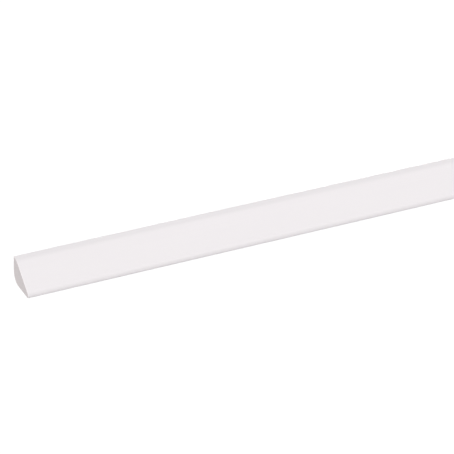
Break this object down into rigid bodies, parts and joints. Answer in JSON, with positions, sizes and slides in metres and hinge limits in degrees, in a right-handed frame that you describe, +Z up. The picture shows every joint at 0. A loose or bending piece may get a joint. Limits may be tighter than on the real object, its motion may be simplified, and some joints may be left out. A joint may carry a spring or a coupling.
{
  "type": "glazing bead",
  "caption": "Straight white plastic trim strip with a splayed front above a small toe, a narrow top bevel, flat back and foot and a rounded heel; it holds a pane in its rebate.",
  "frame": {"origin": "centre of the bead's box at the plane of its foot", "axes": "+X along the bead, +Y out of the flat back towards the glass, +Z up from the foot; the splayed show face looks towards -Y and up"},
  "size_m": [2.4, 0.015, 0.012],
  "materials": {
    "white_pvc": "satin white foamed PVC, through-coloured, with plain sawn ends"
  },
  "bodies": {
    "root": {"glazing_bead": "white_pvc"}
  },
  "joints": []
}
